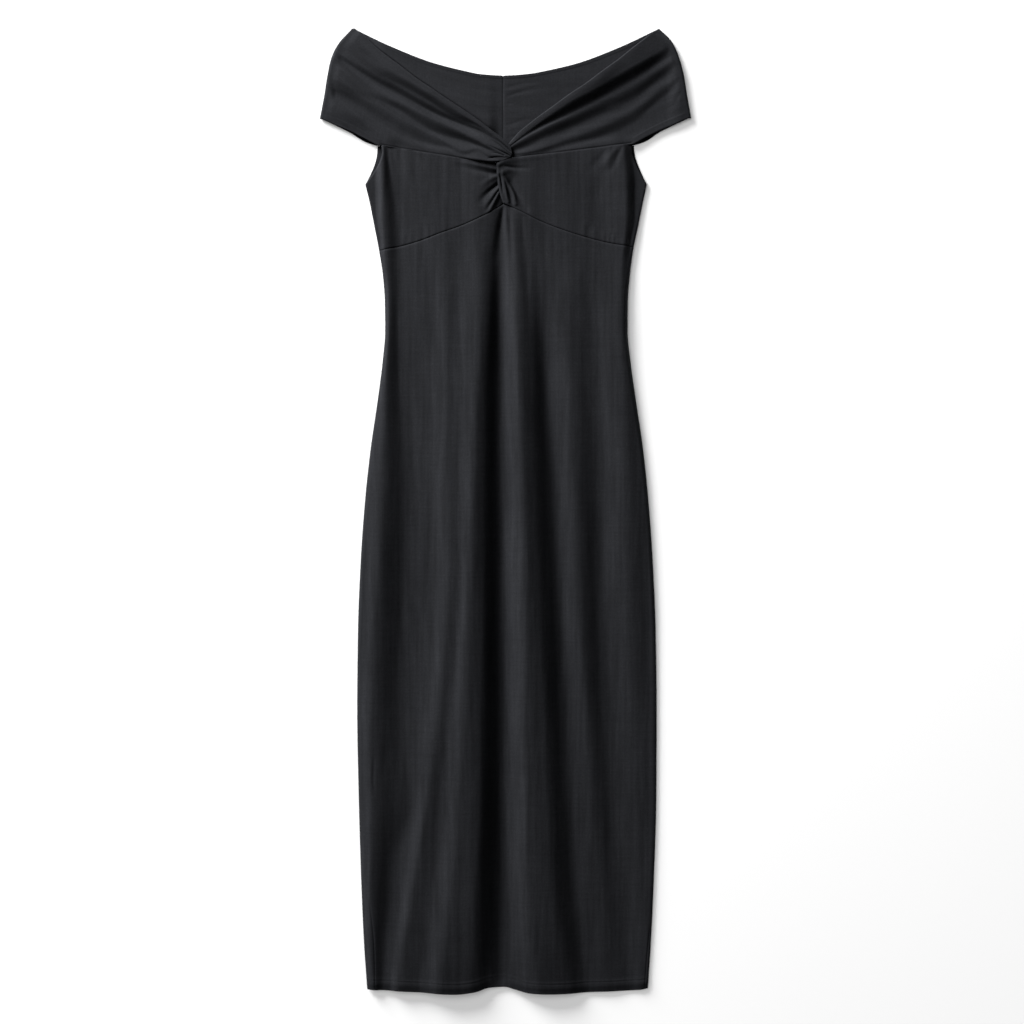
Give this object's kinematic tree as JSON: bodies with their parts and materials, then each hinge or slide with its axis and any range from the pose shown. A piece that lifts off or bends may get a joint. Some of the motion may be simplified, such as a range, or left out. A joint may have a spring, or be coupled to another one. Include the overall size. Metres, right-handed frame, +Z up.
{
  "type": "off-shoulder dress",
  "caption": "Long slim off-shoulder jersey dress laid flat, with a wide folded band, a twisted knot at the bust and a plain skirt.",
  "frame": {"origin": "middle of the laid-out outline, on the surface the dress rests on", "axes": "+Y from hem to neckline, +X to the right of a viewer who looks down at the front, +Z up from the surface"},
  "size_m": [0.502, 1.3031, 0.0218],
  "materials": {
    "jersey": "matt, soft smooth knit"
  },
  "bodies": {
    "root": {"back_body": "jersey", "skirt_front": "jersey", "cup_left": "jersey", "cup_right": "jersey", "band_left": "jersey", "band_right": "jersey"}
  },
  "joints": []
}
